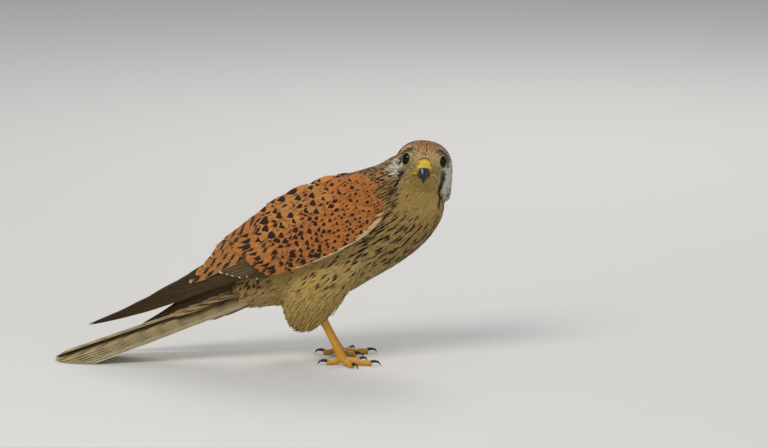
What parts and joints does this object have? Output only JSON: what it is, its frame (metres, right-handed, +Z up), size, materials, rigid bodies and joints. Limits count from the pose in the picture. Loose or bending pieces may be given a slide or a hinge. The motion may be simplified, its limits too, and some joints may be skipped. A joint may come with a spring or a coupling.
{
  "type": "common kestrel",
  "caption": "A life-size female common kestrel standing with folded wings and its tail reaching back to the floor, its body in profile and its head turned to its right.",
  "frame": {"origin": "On the floor, at the middle of the bird's outline as seen from above", "axes": "+X is the way the body faces, along the tail and the body's length; +Y is the bird's left side; +Z is up"},
  "size_m": [0.315, 0.0816, 0.1762],
  "materials": {
    "body_plumage": "soft matt feathers, cream buff with dark brown streaks",
    "wing_feathers": "matt feathers, rufous with dark brown spots, dark brown flight feathers",
    "tail_feathers": "matt feathers, rufous buff with dark bars",
    "leg_skin": "scaled yellow skin, slight sheen",
    "cere_skin": "smooth yellow skin, slight sheen",
    "eye": "wet and glossy, very dark brown",
    "bill_horn": "polished horn, blue grey to black",
    "claw_horn": "polished black horn"
  },
  "bodies": {
    "root": {"torso": "body_plumage", "neck": "body_plumage", "head": "body_plumage", "cere": "cere_skin", "bill_upper": "bill_horn", "bill_lower": "bill_horn", "eye_left": "eye", "eye_right": "eye", "tail": "tail_feathers", "thigh_right": "body_plumage", "tarsus_right": "leg_skin", "toe_right_middle": "leg_skin", "claw_right_middle": "claw_horn", "toe_right_inner": "leg_skin", "claw_right_inner": "claw_horn", "toe_right_outer": "leg_skin", "claw_right_outer": "claw_horn", "toe_right_hind": "leg_skin", "claw_right_hind": "claw_horn", "thigh_left": "body_plumage", "tarsus_left": "leg_skin", "toe_left_middle": "leg_skin", "claw_left_middle": "claw_horn", "toe_left_inner": "leg_skin", "claw_left_inner": "claw_horn", "toe_left_outer": "leg_skin", "claw_left_outer": "claw_horn", "toe_left_hind": "leg_skin", "claw_left_hind": "claw_horn", "wing_right": "wing_feathers", "wing_left": "wing_feathers"}
  },
  "joints": []
}
